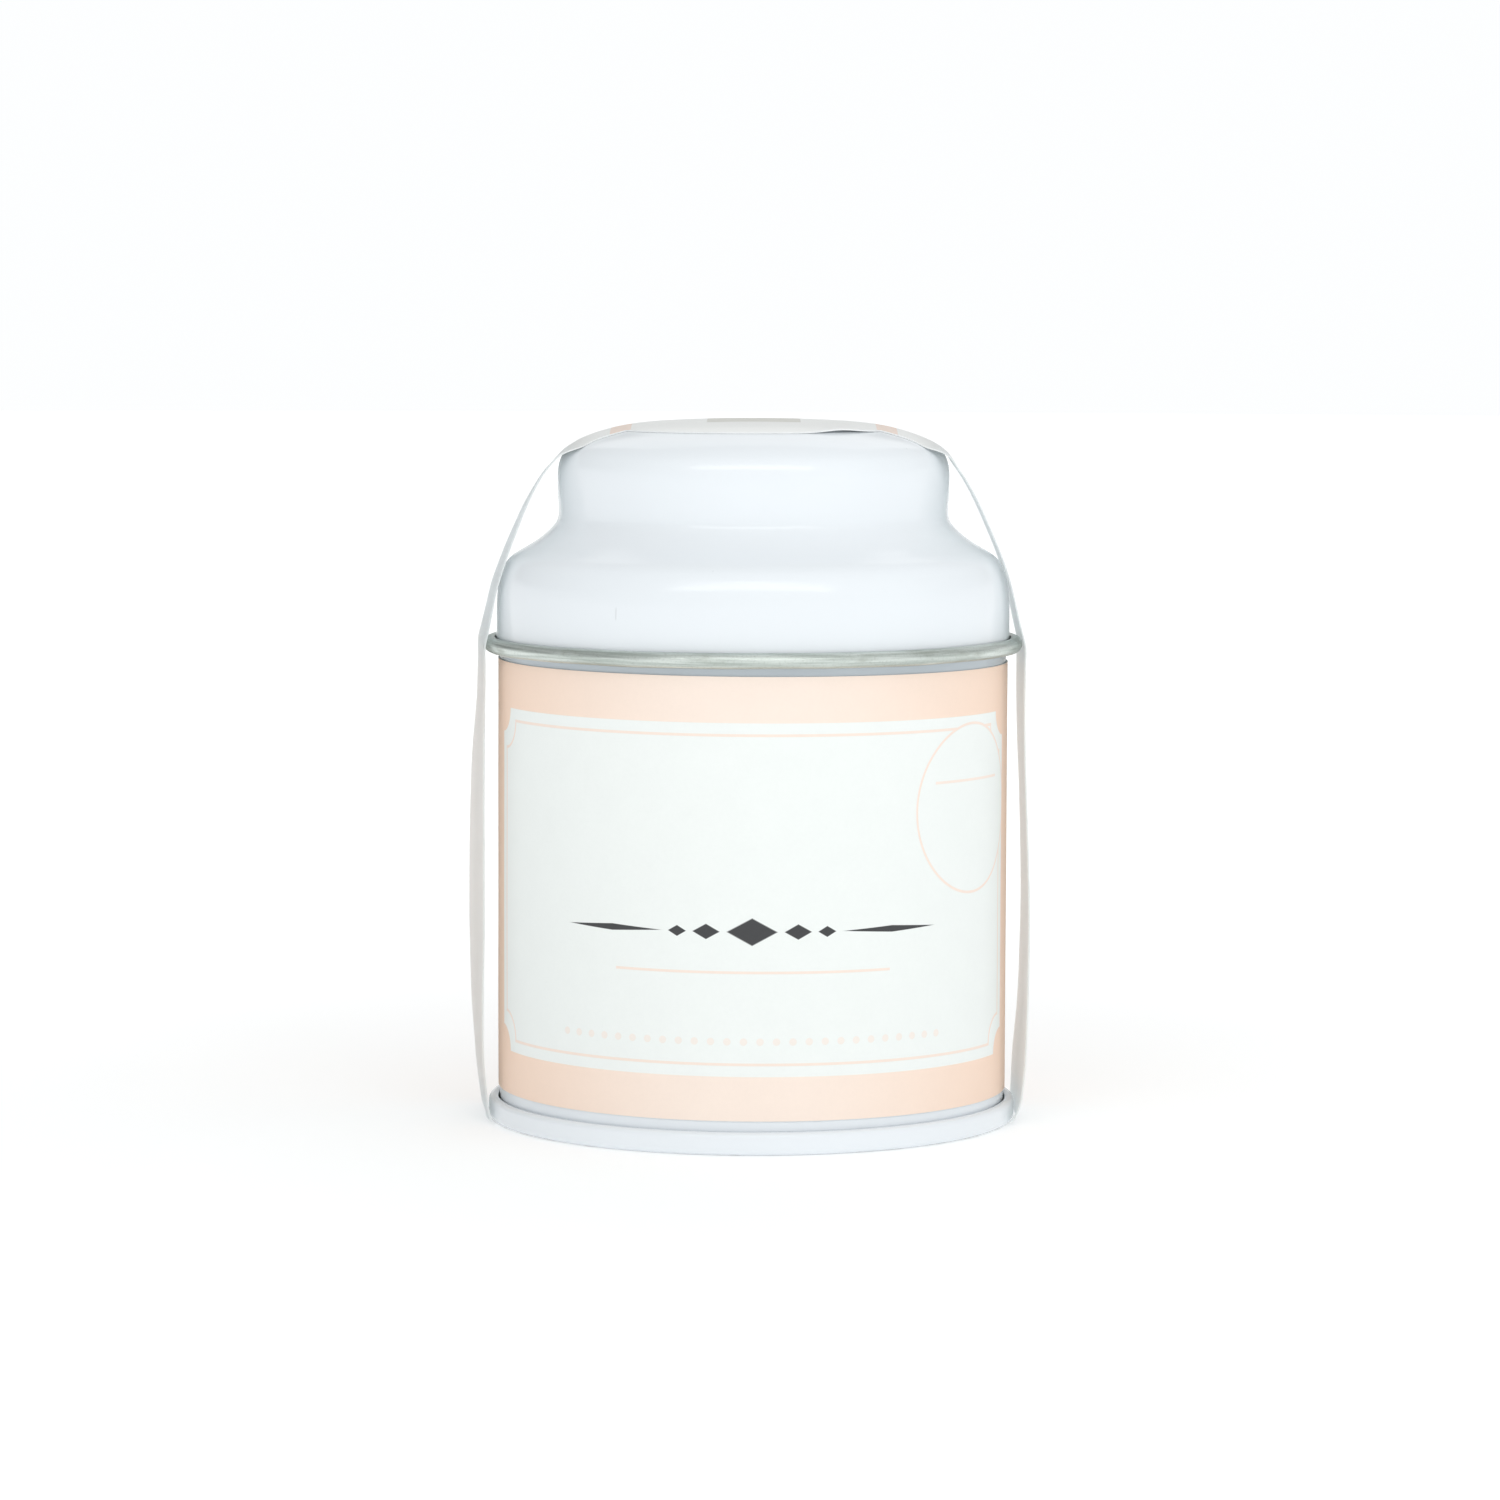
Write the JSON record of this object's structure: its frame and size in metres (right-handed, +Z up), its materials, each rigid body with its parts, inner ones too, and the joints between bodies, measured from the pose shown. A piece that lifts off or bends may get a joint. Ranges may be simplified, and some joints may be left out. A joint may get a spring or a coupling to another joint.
{
  "type": "spice tin",
  "caption": "Small round white tinplate spice tin with a stepped slip lid, a wrapped paper label and a paper seal strip over the lid; stands on its seamed base and holds whole spices.",
  "frame": {"origin": "centre of the base, on the plane the tin stands on", "axes": "+Z up along the tin's axis, -Y towards the front of the label, +X to the right of someone facing the label"},
  "size_m": [0.0529, 0.0508, 0.066],
  "materials": {
    "white_lacquer": "white stove lacquer on tinplate, satin gloss",
    "lid_lacquer": "white stove lacquer on tinplate, satin gloss, with bare tinplate on the rolled edge",
    "label_paper": "smooth coated paper, pale peach and white print",
    "strip_paper": "smooth white coated paper"
  },
  "bodies": {
    "root": {"can_wall": "white_lacquer", "base_end": "white_lacquer", "lid": "lid_lacquer", "wrap_label": "label_paper", "seal_strip": "strip_paper"}
  },
  "joints": []
}
